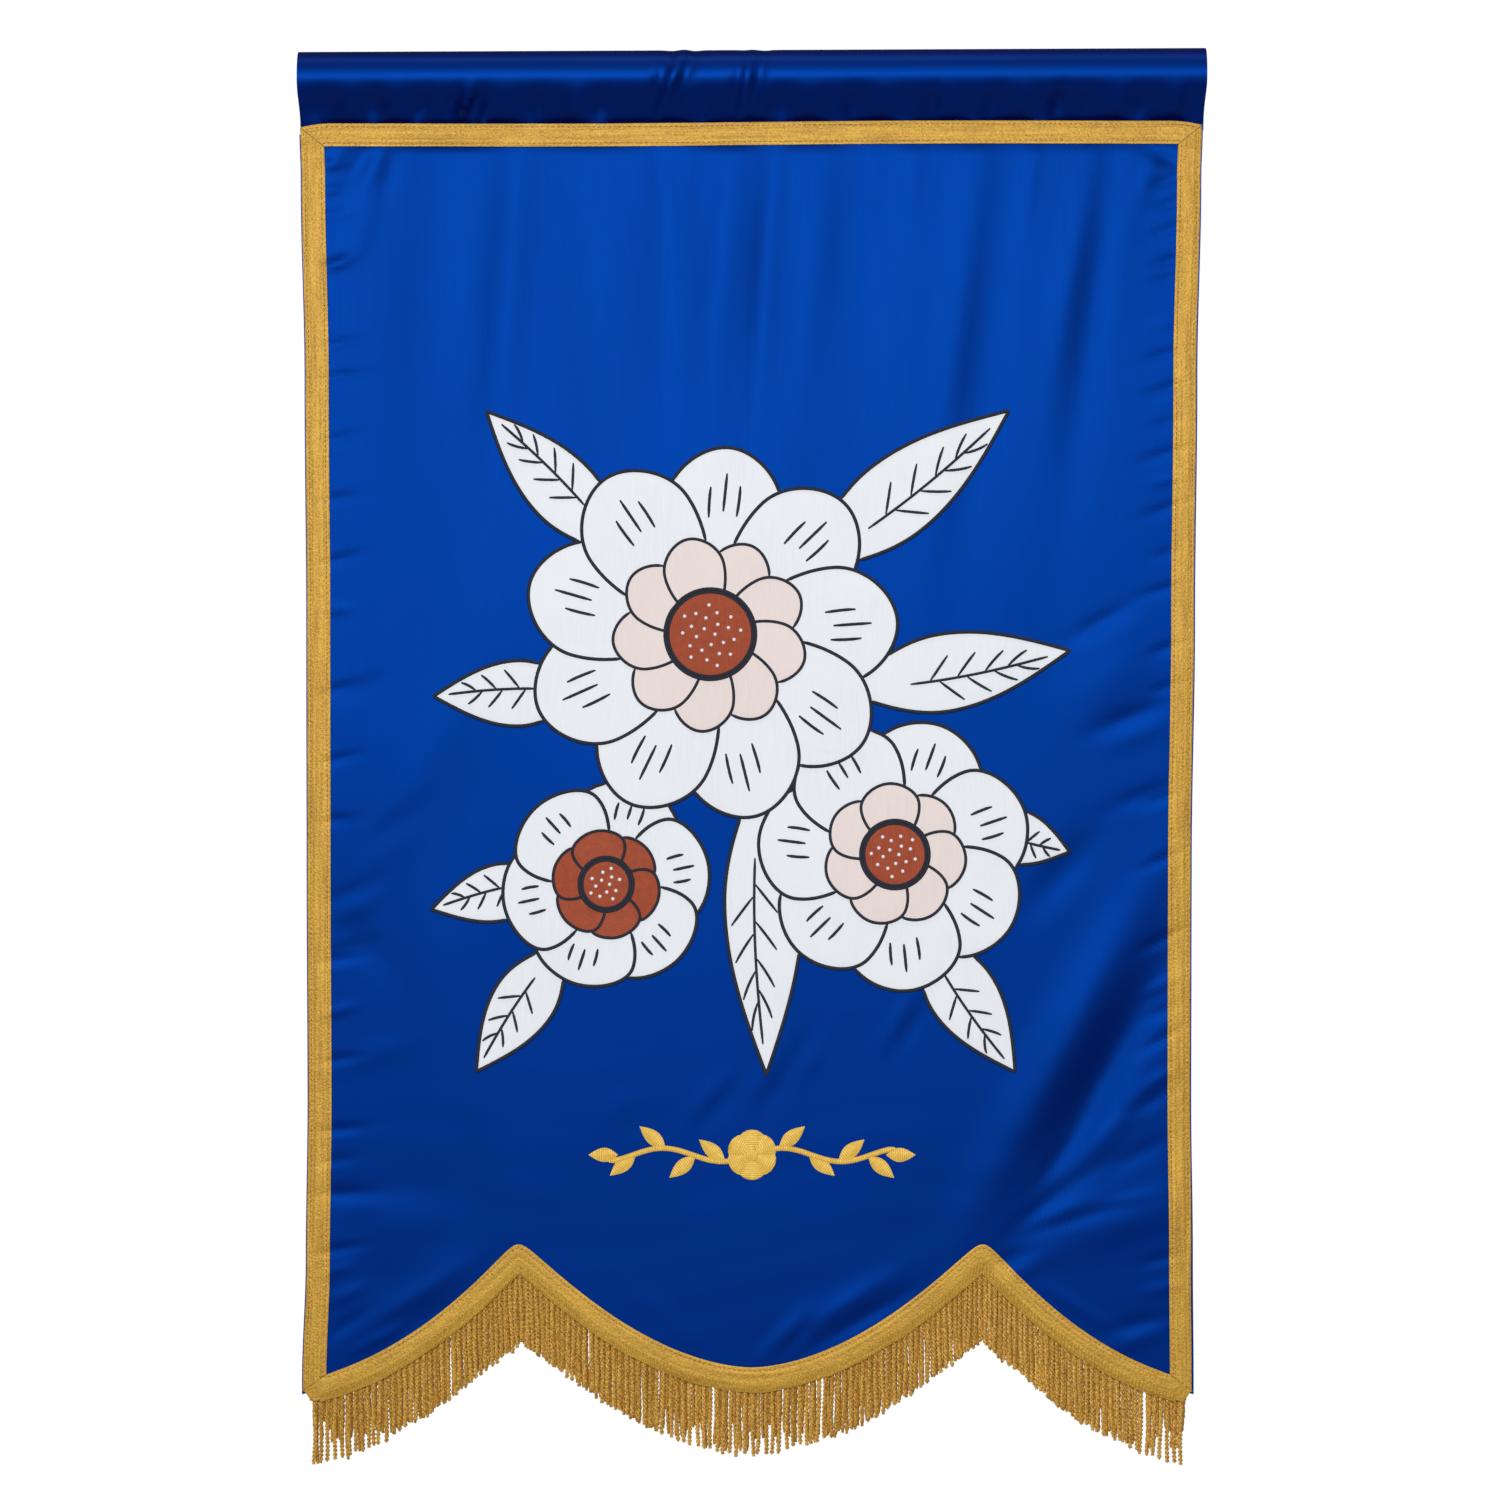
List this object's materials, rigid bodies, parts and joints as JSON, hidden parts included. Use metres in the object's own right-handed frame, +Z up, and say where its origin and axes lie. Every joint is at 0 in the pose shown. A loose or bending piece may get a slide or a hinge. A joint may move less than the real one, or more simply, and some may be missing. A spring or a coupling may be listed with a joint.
{
  "type": "lodge banner",
  "caption": "Hanging satin banner with a rod sleeve, flat braid edging, an appliqued flower spray, a gold garland and a cord fringe along its scalloped hem.",
  "frame": {"origin": "middle of the sleeve's inner crown, the line on which the banner hangs from its rod", "axes": "+X along the rod to the viewer's right, +Y towards the back, +Z up; the face looks towards -Y"},
  "size_m": [0.61, 0.0298, 0.956],
  "materials": {
    "satin_blue": "satin weave with a soft sheen",
    "gold_braid": "ribbed metallic braid",
    "gold_cord": "two-ply twisted cord",
    "white_satin": "smooth white applique cloth",
    "rust_thread": "close filling stitch",
    "gold_thread": "raised satin stitch"
  },
  "bodies": {
    "root": {"rod_sleeve": "satin_blue", "satin_panel": "satin_blue", "braid_top": "gold_braid", "braid_left": "gold_braid", "braid_right": "gold_braid", "braid_hem": "gold_braid", "fringe": "gold_cord", "applique_spray": "white_satin", "flower_centre_large": "rust_thread", "flower_centre_middle": "rust_thread", "flower_centre_small": "rust_thread", "gold_garland": "gold_thread"}
  },
  "joints": []
}
